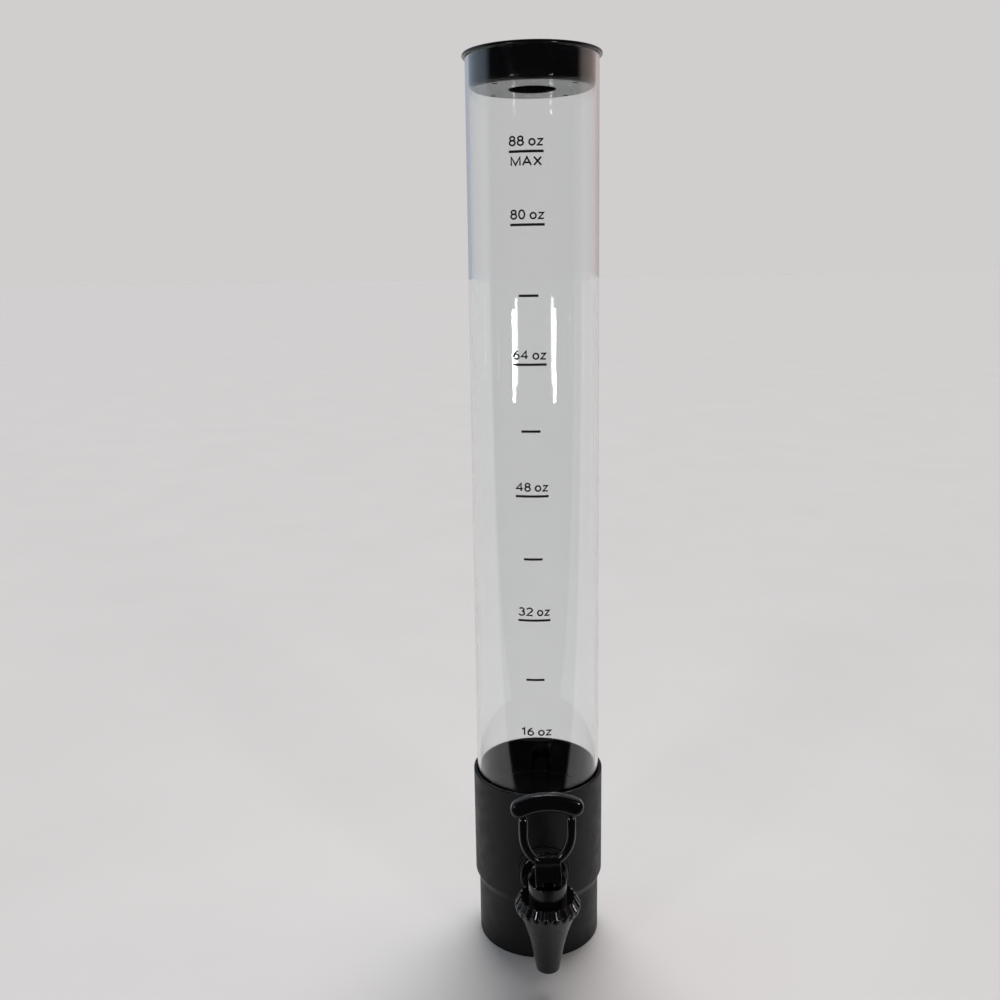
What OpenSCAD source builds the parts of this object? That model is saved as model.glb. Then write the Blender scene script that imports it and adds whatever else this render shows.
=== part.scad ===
// Drink tower: a clear graduated tube standing in a moulded base, with a push-in lid and a lever tap.
// Millimetres. Z is up, the tap points along -Y, and the origin is the centre of the base's foot.

/* [Tube] */
// Outer diameter of the clear tube at its top
tube_top_d = 86.6; // [80:0.2:90]
// How much wider the tube is at its foot
tube_flare = 3.1; // [0:0.1:5]
// Wall of the tube
tube_wall = 2; // [1.6:0.1:2.4]
// Height of the whole tower, to the top of the lid
tower_h = 627; // [480:1:700]

/* [Base] */
// Wall of the collar round the tube
collar_wall = 2.3; // [2:0.1:3.5]
// Height of the collar's rim above the table
rim_z = 131; // [126:0.5:142]
// Depth to which the tube stands in the collar
socket_h = 28; // [24:0.1:32]
// Width of the ledge that carries the tube
ledge_w = 2.3; // [2:0.1:3]
// How much the sleeve under the step is narrower than the collar, on the radius
sleeve_step = 2.7; // [1.5:0.1:4]
// Wall of the sleeve
sleeve_wall = 2.3; // [2:0.1:3.5]
// Height at which the step starts
step_z = 43.5; // [36:0.5:45]
// Height of the sloping step
step_h = 6.5; // [4:0.5:8]
// Width of the notch in the sleeve, under the tap
notch_w = 15; // [8:1:20]
// Height of the notch
notch_h = 38; // [15:1:40]
// Height of the tank's floor at the tap
floor_z = 57.5; // [57:0.5:58]
// Thickness of that floor
floor_t = 2.5; // [2:0.1:3]
// Rise of the floor from the tap to the back of the tank
floor_rise = 43.5; // [30:0.5:45]

/* [Lid] */
// Overhang of the lid's flange past the tube
flange_over = 2; // [1:0.5:4]
// Thickness of the flange
flange_t = 2.2; // [1.4:0.1:3]
// Depth of the plug below the flange
plug_h = 19.7; // [16:0.1:30]
// Wall of the plug and of its floor
lid_wall = 1.8; // [1.4:0.1:2.6]
// Running gap between the plug and the tube
lid_gap = 0.2; // [0.1:0.05:0.4]
// Radius of the hole in the middle of the lid
lid_hole_r = 15.3; // [10:0.1:18]
// Height of the sleeve round that hole, with the floor
sleeve_h = 6; // [3:0.5:12]
// Radius of a vent hole
vent_r = 1.6; // [1:0.1:2]

/* [Tap] */
// Distance from the tower's axis to the tap's axis
tap_reach = 83; // [80:1:90]
// Height of the shank above the table
shank_z = 73; // [72.5:0.5:74]
// Radius of the shank
shank_r = 8; // [7:0.25:8]
// Radius of the waterway through the shank
water_r = 4.8; // [4:0.1:5]
// Radius of the flange that clamps on the collar
clamp_r = 17; // [15.5:0.5:17]
// Thickness of that flange
clamp_t = 4; // [3:0.5:5]
// Radius of the neck between the flange and the chamber
neck_r = 9.5; // [8.5:0.25:10]
// Outer radius of the chamber
chamber_r = 13; // [12.6:0.2:13.4]
// Height of the chamber's top above the shank's axis
chamber_top = 14.5; // [14:0.5:16]
// Thickness of the chamber's top
chamber_lid_t = 4; // [3.6:0.1:4.4]
// Radius of the chamber's bore
bore_r = 10; // [9.6:0.1:10.2]

/* [Nozzle] */
// Radius of the fluted crown at its top
crown_top_r = 19.2; // [18:0.1:20]
// Radius of the crown at its widest
crown_foot_r = 22.3; // [21:0.1:23]
// Height of the crown's sloping face
crown_h = 5; // [4.5:0.1:7]
// Height of the crown's top above the shank's axis
crown_z = 3; // [2:0.1:4]
// Number of flutes round the crown
flute_count = 24; // [18:1:28]
// Depth of a flute
flute_depth = 1.1; // [0.6:0.1:1.4]
// Depth of the nozzle's tip below the shank's axis
tip_drop = 52; // [46:1:54]
// Outer radius of the tip
tip_r = 8; // [7.4:0.1:9]
// Inner radius of the tip
outlet_r = 6.4; // [5:0.1:6.4]

/* [Valve] */
// Radius of the stem
stem_r = 3; // [2.6:0.1:3.2]
// Radius of the cup that closes the seat
cup_r = 8.4; // [8:0.1:8.8]
// Height of the cup
cup_h = 5.5; // [5:0.1:6]
// Lift of the stem when the tap is open
valve_lift = 4; // [3:0.25:4.5]
// Radius of the spring's middle line
coil_r = 5.2; // [4.8:0.1:6]
// Radius of the spring's wire
wire_r = 0.45; // [0.35:0.05:0.5]
// Turns of the spring
coil_turns = 6; // [5:1:7]

/* [Lever] */
// Height of the lever's top above its pin
lever_h = 58.4; // [54:0.2:64]
// Thickness of the lever's loop
lever_t = 6.5; // [5:0.5:8]
// Outer width of the loop
loop_w = 38.4; // [34:0.2:42]
// Width of the loop's arms
arm_w = 6.2; // [5:0.2:7]
// Width of the thumb plate
plate_w = 49; // [44:0.5:54]
// Height of the thumb plate
plate_h = 12.6; // [11:0.1:15]
// Radius of the arch along the thumb plate's top
plate_arch = 50; // [40:1:64]
// Width of the neck under the loop
fork_w = 17.4; // [16:0.2:18]
// Thickness of the eye between the lever's cheeks
eye_t = 6.4; // [5.6:0.1:7]
// Radius of the pivot pin
pin_r = 1.5; // [1.2:0.1:1.8]
// Height of the pin above the lever's sole
sole_h = 6; // [5.6:0.1:6.6]
// Turn of the lever from closed to open
lever_turn = 40; // [30:1:45]

/* [Hidden] */
$fn = 96;
fit = 0.1; // gap of a fixed fit
run = 0.05; // gap round a pin or a stem that moves

tube_top_r = tube_top_d / 2;
tube_foot_r = tube_top_r + tube_flare / 2;
tube_gap = 0.3;
socket_r = tube_foot_r + tube_gap;
collar_r = socket_r + collar_wall;
sump_r = socket_r - ledge_w;
seat_z = rim_z - socket_h;
seal_t = 1;
tube_z = seat_z + seal_t;
flange_z = tower_h - flange_t;
sleeve_r = collar_r - sleeve_step;
cavity_r = min(sleeve_r - sleeve_wall, sump_r);
flange_r = tube_top_r + flange_over;
plug_r = tube_top_r - tube_wall - lid_gap;
plug_z = flange_z - plug_h;
vent_ring_r = plug_r - 6;

pad_r = clamp_r + 1.8; // round pad on the collar, flat for the tap's washer
pad_y = collar_r + 1.5;
washer_t = 2;
clamp_y = pad_y + washer_t;
land_y = sump_r - 4.5; // flat face inside the tank, for the nut's washer
land_r = 14.4;
nut_y = land_y - washer_t;
nut_t = 7;
nut_flats = 24;
shank_end = nut_y - nut_t - 1.5;
flat_y = shank_end - 2; // where the floor starts to rise
waste = 1; // overshoot of a cut past the face that it opens

top_z = chamber_top;
sole_gap = 0.15;
pin_z = top_z + sole_gap + sole_h;
cam_rate = valve_lift / (lever_turn * PI / 180); // lift of the pin per radian of the lever
socket_floor = -16; // face in the nozzle that the chamber's end presses its seal on
seal_h = 1;
bead = 0.35; // bead on the chamber that snaps into the nozzle
bead_z = socket_floor + 5;
crown_foot = crown_z - crown_h;
gland_h = 1.8;
gland_r = stem_r + 1.9;
spring_washer_t = 0.8;
spring_top = top_z - chamber_lid_t - spring_washer_t;
clip_z = socket_floor + 10;
clip_t = 1;
clip_r = coil_r + wire_r + 0.5;
groove_r = stem_r - 0.7;
button_r = stem_r + 1.6;
button_h = 1.6;
button_z = socket_floor + 1.8;
eye_r = 4.4;

// A rod along -Y at the shank's height, from y = -from to y = -to
module rod(r, from, to) {
    translate([0, -from, shank_z]) rotate([90, 0, 0]) cylinder(r = r, h = to - from);
}

// Places its children where the tap's upright axis crosses the shank's axis
module at_tap() {
    translate([0, -tap_reach, shank_z]) children();
}

// A ring standing on z
module ring(r_out, r_in, h, z) {
    translate([0, 0, z]) difference() {
        cylinder(r = r_out, h = h);
        translate([0, 0, -waste]) cylinder(r = r_in, h = h + 2 * waste);
    }
}

// Outside of the base: sleeve, sloping step and collar, with eased edges
module base_outside() {
    ease = 0.6;
    rotate_extrude() polygon([
        [0, 0], [sleeve_r, 0], [sleeve_r, step_z], [collar_r, step_z + step_h],
        [collar_r, rim_z - ease], [collar_r - ease, rim_z], [0, rim_z]]);
}

// Side view of the space over a floor that is level at the tap and then climbs to the back
module floor_side(z, top) {
    climb = floor_rise / (sump_r + flat_y);
    far = 80;
    polygon([[-far, z], [-flat_y, z], [far, z + climb * (far + flat_y)], [far, top + far], [-far, top + far]]);
}

// That side view as a block across the whole base
module floor_block(z, top) {
    translate([-70, 0, 0]) rotate([90, 0, 90]) linear_extrude(140) floor_side(z, top);
}

// Inside of the tank below the tube, over the sloping floor
module sump() {
    intersection() {
        translate([0, 0, floor_z - waste]) cylinder(r = sump_r, h = rim_z);
        floor_block(floor_z, rim_z);
    }
}

// The hollow under the floor, open at the foot
module underside() {
    difference() {
        translate([0, 0, -waste]) cylinder(r = cavity_r, h = seat_z);
        floor_block(floor_z - floor_t, rim_z);
    }
}

module base() {
    color("#1b1c1e") difference() {
        union() {
            base_outside();
            rod(pad_r, sump_r, pad_y);
        }
        difference() {
            sump();
            rod(land_r, land_y, collar_r);
        }
        underside();
        translate([0, 0, seat_z]) cylinder(r = socket_r, h = socket_h + waste);
        rod(shank_r + fit, land_y - waste, pad_y + waste);
        translate([-notch_w / 2, -sleeve_r - waste, -waste])
            cube([notch_w, sleeve_r - cavity_r + 4, min(notch_h, step_z - 2) + waste]);
    }
}

module tube_seal() {
    color("#1b1b1c") ring(socket_r - fit, sump_r + 0.3, seal_t, seat_z);
}

// Tapered tube, open at both ends
module tank_tube() {
    slope = (tube_foot_r - tube_top_r) / (flange_z - tube_z);
    in_foot = tube_foot_r - tube_wall;
    in_top = tube_top_r - tube_wall;
    color("#dfe6e6", 0.35) rotate_extrude() polygon([
        [in_foot, tube_z], [tube_foot_r, tube_z], [tube_top_r, flange_z], [in_top, flange_z]]);
}

// Profile of the lid: flange, plug with a rounded lower edge, floor and the sleeve of the hole
module lid_profile() {
    corner = 3;
    inner_r = plug_r - lid_wall;
    difference() {
        union() {
            translate([0, plug_h]) square([flange_r, flange_t]);
            translate([0, corner]) square([plug_r, plug_h - corner + flange_t]);
            square([plug_r - corner, corner + 1]);
            translate([plug_r - corner, corner]) circle(r = corner, $fn = 48);
        }
        translate([lid_hole_r + lid_wall, lid_wall])
            square([inner_r - lid_hole_r - lid_wall, plug_h + flange_t]);
        translate([-1, sleeve_h]) square([inner_r + 1, plug_h + flange_t]);
        translate([-1, -1]) square([lid_hole_r + 1, plug_h + flange_t + 2]);
    }
}

module lid() {
    color("#0c0c0d") translate([0, 0, plug_z]) difference() {
        rotate_extrude() lid_profile();
        for (turn = [0:90:270]) rotate([0, 0, turn + 45])
            translate([vent_ring_r, 0, -waste]) cylinder(r = vent_r, h = lid_wall + 2 * waste, $fn = 32);
    }
}

// Outside of the chamber, with the bead that holds the nozzle
module chamber_outside() {
    foot = socket_floor + seal_h;
    ease = 0.6;
    rotate_extrude() polygon([
        [0, foot], [chamber_r, foot], [chamber_r, bead_z - 0.8], [chamber_r + bead, bead_z - 0.3],
        [chamber_r + bead, bead_z + 0.3], [chamber_r, bead_z + 0.8], [chamber_r, top_z - ease],
        [chamber_r - ease, top_z], [0, top_z]]);
}

// Inside of the chamber: bore, the stem seal's gland and the stem's hole
module chamber_inside() {
    roof = top_z - chamber_lid_t;
    foot = socket_floor + seal_h;
    translate([0, 0, foot - waste]) cylinder(r = bore_r, h = roof - foot + waste);
    translate([0, 0, roof - waste]) cylinder(r = gland_r, h = gland_h + waste);
    translate([0, 0, roof]) cylinder(r = stem_r + run, h = chamber_lid_t + waste);
}

module tap_body() {
    color("#101012") difference() {
        union() {
            rod(shank_r, shank_end, clamp_y + 1);
            rod(clamp_r, clamp_y, clamp_y + clamp_t);
            rod(neck_r, clamp_y + 1, tap_reach - bore_r);
            at_tap() chamber_outside();
        }
        at_tap() chamber_inside();
        rod(water_r, shank_end - waste, tap_reach - bore_r + 2);
    }
}

module outer_washer() {
    color("#1b1b1c") difference() {
        rod(clamp_r + 0.4, pad_y, clamp_y);
        rod(shank_r + fit, pad_y - waste, clamp_y + waste);
    }
}

module inner_washer() {
    color("#1b1b1c") difference() {
        rod(land_r - 0.6, nut_y, land_y);
        rod(shank_r + fit, nut_y - waste, land_y + waste);
    }
}

// Hexagon nut inside the tank, with a round face against the washer
module shank_nut() {
    color("#17171a") difference() {
        union() {
            translate([0, -(nut_y - nut_t), shank_z]) rotate([90, 0, 0])
                cylinder(r = nut_flats / sqrt(3), h = nut_t - 1.5, $fn = 6);
            rod(nut_flats / 2 + 0.6, nut_y - 1.5, nut_y);
        }
        rod(shank_r + run, nut_y - nut_t - waste, nut_y + waste);
    }
}

// Outside of the nozzle: a crown that flares, a rounded brim under it and a cone that flares upwards
module nozzle_outside() {
    ease = 0.6;
    brim = 4.3;
    neck_top = crown_foot - brim;
    steps = 10;
    cone = [for (i = [0:steps]) let (z = neck_top + (0.8 - tip_drop - neck_top) * i / steps)
        [nozzle_cone_r(z), z]];
    rotate_extrude() polygon(concat(
        [[0, crown_z], [crown_top_r - ease, crown_z], [crown_top_r, crown_z - ease], [crown_foot_r, crown_foot]],
        [[crown_foot_r, crown_foot - 1], [crown_foot_r - 0.2, crown_foot - 2.2]],
        [[crown_foot_r - 0.7, crown_foot - 3.2], [crown_foot_r - 1.5, crown_foot - 4]],
        cone, [[tip_r - 0.6, -tip_drop], [0, -tip_drop]]));
}

// Radius of the nozzle's cone at a height: a straight taper, and a flare that grows with the square
function nozzle_cone_r(z) = let (h = z + tip_drop) tip_r + 0.175 * h + 0.0045 * pow(max(h - 15, 0), 2);

// Inside of the nozzle: socket for the chamber, groove for its bead, seat and tapered bore
module nozzle_inside() {
    seat_r = 5.8;
    wall_r = chamber_r + fit;
    rotate_extrude() polygon([
        [0, -tip_drop - waste], [outlet_r, -tip_drop - waste], [outlet_r, -tip_drop + 3],
        [seat_r + 2, socket_floor - 6], [seat_r, socket_floor - 2.5], [seat_r, socket_floor],
        [wall_r, socket_floor], [wall_r, bead_z - 0.9], [wall_r + bead, bead_z - 0.4],
        [wall_r + bead, bead_z + 0.4], [wall_r, bead_z + 0.9], [wall_r, crown_z + waste], [0, crown_z + waste]]);
}

module nozzle() {
    flare = atan((crown_foot_r - crown_top_r) / crown_h);
    flute_r = PI * crown_foot_r / flute_count * 0.8;
    slot = neck_r + 0.4;
    color("#2b2c2e") at_tap() difference() {
        nozzle_outside();
        nozzle_inside();
        // flutes that lean out with the crown
        for (i = [0:flute_count - 1]) rotate([0, 0, (i + 0.5) * 360 / flute_count])
            translate([crown_foot_r + flute_r - flute_depth, 0, crown_foot])
                rotate([0, -flare, 0]) translate([0, 0, -4]) cylinder(r = flute_r, h = crown_h + 9, $fn = 20);
        // slot at the back, which lets the nozzle rise past the shank's neck
        rotate([-90, 0, 0]) cylinder(r = slot, h = 40);
        translate([-slot, 0, 0]) cube([2 * slot, 40, 20]);
    }
}

module nozzle_seal() {
    color("#d8d8d4") at_tap() ring(chamber_r - 0.2, bore_r + 0.2, seal_h, socket_floor);
}

// Stem with a button for the cup, a groove for the clip and an eye for the pin
module valve_stem() {
    color("#e6e6e2") at_tap() difference() {
        union() {
            translate([0, 0, button_z]) cylinder(r = stem_r, h = pin_z - button_z - 1);
            translate([0, 0, button_z]) cylinder(r = button_r, h = button_h);
            intersection() {
                translate([-eye_t / 2 + 0.2, 0, pin_z]) rotate([0, 90, 0]) cylinder(r = eye_r, h = eye_t - 0.4);
                translate([-eye_t, -eye_r - 1, top_z + 0.4]) cube([2 * eye_t, 2 * eye_r + 2, 20]);
            }
        }
        ring(stem_r + 1, groove_r, clip_t, clip_z);
        translate([-eye_t, 0, pin_z]) rotate([0, 90, 0]) cylinder(r = pin_r + run, h = 2 * eye_t);
    }
}

// Ring of round section in the gland, under the chamber's roof
module stem_o_ring() {
    cord = 0.85;
    color("#1a1a1c") at_tap() translate([0, 0, top_z - chamber_lid_t + gland_h - cord])
        rotate_extrude() translate([stem_r + run + cord, 0]) circle(r = cord, $fn = 32);
}

module spring_washer() {
    color("#c2c5c9") at_tap() ring(bore_r - 0.6, stem_r + 0.2, spring_washer_t, spring_top);
}

// Round wire wound on a helix: rings of points along it, closed at both ends
module stem_spring() {
    sides = 8;
    per_turn = 20;
    count = coil_turns * per_turn;
    low = clip_z + clip_t + wire_r;
    rise = spring_top - wire_r - low;
    points = [for (i = [0:count]) for (j = [0:sides - 1])
        let (a = i * 360 / per_turn, b = j * 360 / sides, r = coil_r + wire_r * cos(b))
        [r * cos(a), r * sin(a), low + rise * i / count + wire_r * sin(b)]];
    walls = [for (i = [0:count - 1]) for (j = [0:sides - 1])
        let (k = (j + 1) % sides, p = i * sides)
        [p + j, p + sides + j, p + sides + k, p + k]];
    color("#c2c5c9") at_tap() polyhedron(points = points, convexity = 8, faces = concat(
        walls, [[for (j = [0:sides - 1]) j]], [[for (j = [0:sides - 1]) count * sides + sides - 1 - j]]));
}

// Retaining clip in the stem's groove, which the spring pushes on
module spring_clip() {
    color("#c2c5c9") at_tap() difference() {
        translate([0, 0, clip_z]) cylinder(r = clip_r, h = clip_t);
        translate([0, 0, clip_z - waste]) cylinder(r = groove_r, h = clip_t + 2 * waste);
        translate([-groove_r * 0.8, -20, clip_z - waste]) cube([groove_r * 1.6, 20, clip_t + 2 * waste]);
    }
}

// Silicone cup that closes the seat, with a pocket for the stem's button
module seat_cup() {
    z = socket_floor;
    color("#d8d8d4") at_tap() rotate_extrude() difference() {
        polygon([
            [0, z], [cup_r - 0.8, z], [cup_r, z + 0.8], [cup_r, z + 2],
            [button_r + 1.6, z + cup_h - 0.6], [button_r + 1, z + cup_h], [0, z + cup_h]]);
        translate([0, button_z - run]) square([button_r + run, button_h + 2 * run]);
        translate([0, button_z]) square([stem_r + run, cup_h]);
    }
}

module lever_pin() {
    color("#c2c5c9") at_tap() translate([-fork_w / 2, 0, pin_z]) rotate([0, 90, 0])
        cylinder(r = pin_r, h = fork_w);
}

// Points of an ellipse's arc
function arc(x, z, rx, rz, from, to, steps) =
    [for (i = [0:steps]) let (a = from + (to - from) * i / steps) [x + rx * cos(a), z + rz * sin(a)]];

// Side view of the cheeks: a level sole, then an involute under the front on which the pin rises by
// the same amount for each degree of turn, then a flat that the open lever rests on
module cheek_side() {
    steps = 16;
    cam = [for (i = [0:steps])
        let (a = i * lever_turn / steps, h = sole_h + cam_rate * a * PI / 180)
        [-h * sin(a) - cam_rate * cos(a), -h * cos(a) + cam_rate * sin(a)]];
    rest = cam[steps] + 2 * [-cos(lever_turn), sin(lever_turn)];
    polygon(concat(
        [[lever_t / 2 + 2, -sole_h]], cam,
        [rest, rest + [1, 2], [-lever_t / 2, 10], [lever_t / 2, 10], [lever_t / 2 + 2.6, 2]]));
}

// Front view of the loop, from the neck up to the thumb plate
module loop_front() {
    half = loop_w / 2;
    mid = lever_h * 0.5;
    top = lever_h - plate_h * 0.7;
    difference() {
        union() {
            polygon(concat([[half, top]], arc(0, mid, half, mid - 5, 0, -180, 40), [[-half, top]]));
            translate([-fork_w / 2, 5]) square([fork_w, 8]);
        }
        polygon(concat(
            arc(0, mid, half - arm_w, mid - 5 - arm_w * 0.8, 0, -180, 40),
            arc(0, mid, half - arm_w, lever_h - plate_h - mid, 180, 0, 28)));
    }
}

// Front view of the thumb plate: an arched bar with round ends
module plate_front() {
    mid_r = plate_arch - plate_h / 2;
    end_r = plate_h / 2;
    spread = asin((plate_w / 2 - end_r) / mid_r);
    centre = lever_h - plate_arch;
    polygon(concat(
        arc(0, centre, plate_arch, plate_arch, 90 - spread, 90 + spread, 28),
        arc(0, centre, plate_arch - plate_h, plate_arch - plate_h, 90 + spread, 90 - spread, 28)));
    for (side = [-1, 1])
        translate([side * mid_r * sin(spread), centre + mid_r * cos(spread)]) circle(r = end_r, $fn = 48);
}

module lever() {
    color("#0b0b0c") at_tap() translate([0, 0, pin_z]) difference() {
        union() {
            translate([-fork_w / 2, 0, 0]) rotate([90, 0, 90]) linear_extrude(fork_w) cheek_side();
            translate([0, lever_t / 2, 0]) rotate([90, 0, 0]) linear_extrude(lever_t) loop_front();
            translate([0, lever_t / 2 + 0.8, 0]) rotate([90, 0, 0]) linear_extrude(lever_t + 1.6) plate_front();
        }
        // slot for the stem's eye, closed in front above the pin
        translate([-eye_t / 2, -eye_r - 0.6, -20]) cube([eye_t, 40, 20 + eye_r + 1]);
        translate([-eye_t / 2, -20, -20]) cube([eye_t, 40, 19.5]);
        translate([-fork_w, 0, 0]) rotate([0, 90, 0]) cylinder(r = pin_r + run, h = 2 * fork_w);
    }
}

base();
tube_seal();
tank_tube();
lid();
tap_body();
outer_washer();
inner_washer();
shank_nut();
nozzle();
nozzle_seal();
valve_stem();
stem_o_ring();
spring_washer();
stem_spring();
spring_clip();
seat_cup();
lever_pin();
lever();
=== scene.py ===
# Drink tower: a clear graduated tube in a moulded base, with a push-in lid and a lever tap.
# Metres, Z up, tap towards -Y. Sizes in the pieces' dictionaries are millimetres, as on a drawing.
from math import pi, radians
import bmesh
import bpy
import numpy as np
from mathutils import Matrix, Vector


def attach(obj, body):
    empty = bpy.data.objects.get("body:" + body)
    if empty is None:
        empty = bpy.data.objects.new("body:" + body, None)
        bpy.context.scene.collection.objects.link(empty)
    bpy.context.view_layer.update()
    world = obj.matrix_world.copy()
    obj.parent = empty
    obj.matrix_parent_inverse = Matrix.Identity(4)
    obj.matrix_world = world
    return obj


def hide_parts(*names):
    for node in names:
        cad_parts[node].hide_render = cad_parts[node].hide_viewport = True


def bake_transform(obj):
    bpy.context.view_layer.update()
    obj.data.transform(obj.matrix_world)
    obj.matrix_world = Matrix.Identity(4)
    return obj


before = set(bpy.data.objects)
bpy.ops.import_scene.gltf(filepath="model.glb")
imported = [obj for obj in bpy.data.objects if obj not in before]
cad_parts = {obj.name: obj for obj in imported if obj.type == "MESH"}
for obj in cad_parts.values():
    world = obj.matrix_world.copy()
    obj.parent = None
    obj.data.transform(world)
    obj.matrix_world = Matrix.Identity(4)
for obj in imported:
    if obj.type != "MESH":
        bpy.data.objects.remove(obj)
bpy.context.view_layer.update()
mm = 0.001

# camera: place in metres, turn, tilt and roll in radians, lens and sensor in millimetres
camera = {"place": (-0.0517, -0.7125, 0.4944), "turn": 0.0374, "tilt": 0.2214, "roll": -0.0159,
          "lens": 37.44, "sensor": 36}

cameraData = bpy.data.cameras.new("camera")
cameraData.lens = camera["lens"]
cameraData.sensor_width = camera["sensor"]
cameraData.clip_start = 0.01
cameraObject = bpy.data.objects.new("camera", cameraData)
bpy.context.scene.collection.objects.link(cameraObject)
placed = Matrix.Translation(camera["place"])
aimed = Matrix.Rotation(-camera["turn"], 4, "Z") @ Matrix.Rotation(pi / 2 - camera["tilt"], 4, "X")
cameraObject.matrix_world = placed @ aimed @ Matrix.Rotation(camera["roll"], 4, "Z")
bpy.context.scene.camera = cameraObject


def hexColour(code):
    # sRGB hex to the linear values that Blender's sockets take
    parts = np.array([int(code[i:i + 2], 16) for i in (1, 3, 5)]) / 255
    linear = np.where(parts <= 0.04045, parts / 12.92, ((parts + 0.055) / 1.055) ** 2.4)
    return (*linear.tolist(), 1.0)


def addNode(tree, kind, settings=None, **inputs):
    # one node with its settings; an input is a value or another node's output, and i0, i1 count the sockets
    node = tree.nodes.new(kind)
    for name, value in (settings or {}).items():
        setattr(node, name, value)
    for name, value in inputs.items():
        numbered = name[0] == "i" and name[1:].isdigit()
        socket = node.inputs[int(name[1:]) if numbered else name.replace("_", " ")]
        if isinstance(value, bpy.types.NodeSocket):
            tree.links.new(value, socket)
        else:
            socket.default_value = value
    return node


# two small lamps in front of the tube, in metres and watts, and a broad sun; angles in degrees
lamps = {"left": (-0.90, -1.08, 0.33), "right": (0.72, -1.20, 0.33), "aim": (0, 0, 0.36),
         "size": (0.12, 0.18), "watts": 0.5, "spread": 50, "sunFrom": (0.1, 0.5, 1.0), "sunStrength": 2.4,
         "sunAngle": 40}


def addLamp(name, place):
    # a lamp aimed at the tube, with a narrow spread, so that it leaves no bright patch on the table
    lamp = bpy.data.lights.new(name, "AREA")
    lamp.shape = "RECTANGLE"
    lamp.size, lamp.size_y = lamps["size"]
    lamp.energy = lamps["watts"]
    lamp.spread = radians(lamps["spread"])
    lampObject = bpy.data.objects.new(name, lamp)
    bpy.context.scene.collection.objects.link(lampObject)
    lampObject.location = place
    towards = Vector(lamps["aim"]) - Vector(place)
    lampObject.rotation_euler = towards.to_track_quat("-Z", "Y").to_euler()


addLamp("lampFrontLeft", lamps["left"])
addLamp("lampFrontRight", lamps["right"])
sun = bpy.data.lights.new("lampSky", "SUN")
sun.energy = lamps["sunStrength"]
sun.angle = radians(lamps["sunAngle"])
sunObject = bpy.data.objects.new("lampSky", sun)
bpy.context.scene.collection.objects.link(sunObject)
sunObject.rotation_euler = Vector(lamps["sunFrom"]).to_track_quat("Z", "Y").to_euler()
sunObject.visible_glossy = False

# the room is pale at the back and sides, cooler on the left, warmer on the right, and dim behind the camera
room = {"pale": "#d1cece", "left": "#a5b2c2", "right": "#c4b4af", "dim": "#222326", "side": 0.7,
        "dimTo": -0.2, "paleFrom": 0.1}
world = bpy.data.worlds.new("studio")
bpy.context.scene.world = world
world.use_nodes = True
sky = world.node_tree
sky.nodes.clear()
rays = addNode(sky, "ShaderNodeLightPath").outputs
# a ray from the camera, also through the clear wall, sees the pale colour, and a reflected one sees the room
direct = addNode(sky, "ShaderNodeMath", {"operation": "LESS_THAN"}, i0=rays["Glossy Depth"], i1=0.5)
straight = addNode(sky, "ShaderNodeMath", {"operation": "LESS_THAN"}, i0=rays["Diffuse Depth"], i1=0.5)
through = addNode(sky, "ShaderNodeMath", {"operation": "MULTIPLY"},
                  i0=direct.outputs[0], i1=straight.outputs[0])
through = addNode(sky, "ShaderNodeMath", {"operation": "MULTIPLY"},
                  i0=through.outputs[0], i1=rays["Is Transmission Ray"])
seen = addNode(sky, "ShaderNodeMath", {"operation": "MAXIMUM"},
               i0=rays["Is Camera Ray"], i1=through.outputs[0])
facing = addNode(sky, "ShaderNodeTexCoord").outputs["Generated"]
facing = addNode(sky, "ShaderNodeSeparateXYZ", i0=facing).outputs
side = addNode(sky, "ShaderNodeMapRange", Value=facing[0], i1=-room["side"], i2=room["side"])
depth = addNode(sky, "ShaderNodeMapRange", {"interpolation_type": "SMOOTHSTEP"}, Value=facing[1],
                i1=room["dimTo"], i2=room["paleFrom"])
walls = addNode(sky, "ShaderNodeMix", {"data_type": "RGBA"}, i0=side.outputs[0],
                i6=hexColour(room["left"]), i7=hexColour(room["right"]))
around = addNode(sky, "ShaderNodeMix", {"data_type": "RGBA"}, i0=depth.outputs[0],
                 i6=hexColour(room["dim"]), i7=walls.outputs[2])
pale = addNode(sky, "ShaderNodeBackground", Color=hexColour(room["pale"]), Strength=1.0)
lit = addNode(sky, "ShaderNodeBackground", Color=around.outputs[2], Strength=1.0)
mixed = addNode(sky, "ShaderNodeMixShader", i0=seen.outputs[0], i1=lit.outputs[0], i2=pale.outputs[0])
addNode(sky, "ShaderNodeOutputWorld", Surface=mixed.outputs[0])
bpy.context.scene.view_settings.view_transform = "Standard"
print("stage set")


def newMaterial(name, colour, roughness, **shader):
    # one shader and its output; the colour is sRGB hex
    material = bpy.data.materials.new(name)
    material.use_nodes = True
    tree = material.node_tree
    tree.nodes.clear()
    surface = addNode(tree, "ShaderNodeBsdfPrincipled", None, Base_Color=hexColour(colour),
                      Roughness=roughness, **shader)
    addNode(tree, "ShaderNodeOutputMaterial", Surface=surface.outputs[0])
    return material, tree, surface


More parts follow.
